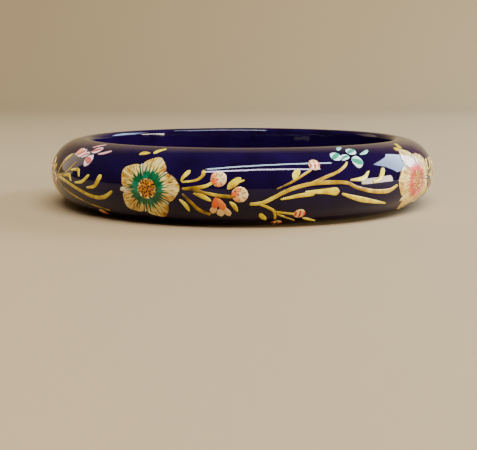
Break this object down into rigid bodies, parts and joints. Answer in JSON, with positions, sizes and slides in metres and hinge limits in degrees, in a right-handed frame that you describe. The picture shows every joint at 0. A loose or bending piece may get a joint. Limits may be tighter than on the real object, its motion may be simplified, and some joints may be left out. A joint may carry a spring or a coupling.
{
  "type": "bangle bracelet",
  "caption": "Rigid round bangle: a closed ring with a straight bore and a round outer face, painted with flowers and leafy sprays under clear gloss lacquer.",
  "frame": {"origin": "on the bore axis, level with the land that the ring rests on", "axes": "+Z along the bore axis, upwards; -Y towards the side that is seen first, between the first and second flowers"},
  "size_m": [0.08, 0.08, 0.0135],
  "materials": {
    "paper_core": "matte",
    "chalk_primer": "matte",
    "indigo_ground": "gloss",
    "clear_lacquer": "polished",
    "petal_cream": "gloss",
    "green_paint": "gloss",
    "red_paint": "gloss",
    "amber_paint": "gloss",
    "brown_paint": "gloss",
    "ivory_paint": "gloss",
    "gold_paint": "gloss",
    "yellow_paint": "gloss",
    "bud_paint": "gloss",
    "mint_paint": "gloss",
    "coral_paint": "gloss"
  },
  "bodies": {
    "root": {"core_ring": "paper_core", "primer_coat": "chalk_primer", "ground_coat": "indigo_ground", "finish_lacquer": "clear_lacquer", "flower_1_petals": "petal_cream", "flower_1_throat": "green_paint", "flower_1_disc": "amber_paint", "flower_1_seeds": "brown_paint", "flower_1_ribs": "ivory_paint", "spray_1_stems": "gold_paint", "spray_1_leaves": "yellow_paint", "spray_1_buds": "bud_paint", "spray_1_blossom": "mint_paint", "flower_2_petals": "petal_cream", "flower_2_throat": "red_paint", "flower_2_disc": "amber_paint", "flower_2_seeds": "brown_paint", "flower_2_ribs": "ivory_paint", "spray_2_stems": "gold_paint", "spray_2_leaves": "yellow_paint", "spray_2_buds": "bud_paint", "spray_2_blossom": "coral_paint", "flower_3_petals": "petal_cream", "flower_3_throat": "green_paint", "flower_3_disc": "amber_paint", "flower_3_seeds": "brown_paint", "flower_3_ribs": "ivory_paint", "spray_3_stems": "gold_paint", "spray_3_leaves": "yellow_paint", "spray_3_buds": "bud_paint", "spray_3_blossom": "mint_paint", "flower_4_petals": "petal_cream", "flower_4_throat": "red_paint", "flower_4_disc": "amber_paint", "flower_4_seeds": "brown_paint", "flower_4_ribs": "ivory_paint", "spray_4_stems": "gold_paint", "spray_4_leaves": "yellow_paint", "spray_4_buds": "bud_paint", "spray_4_blossom": "coral_paint", "flower_5_petals": "petal_cream", "flower_5_throat": "green_paint", "flower_5_disc": "amber_paint", "flower_5_seeds": "brown_paint", "flower_5_ribs": "ivory_paint", "spray_5_stems": "gold_paint", "spray_5_leaves": "yellow_paint", "spray_5_buds": "bud_paint", "spray_5_blossom": "coral_paint"}
  },
  "joints": []
}
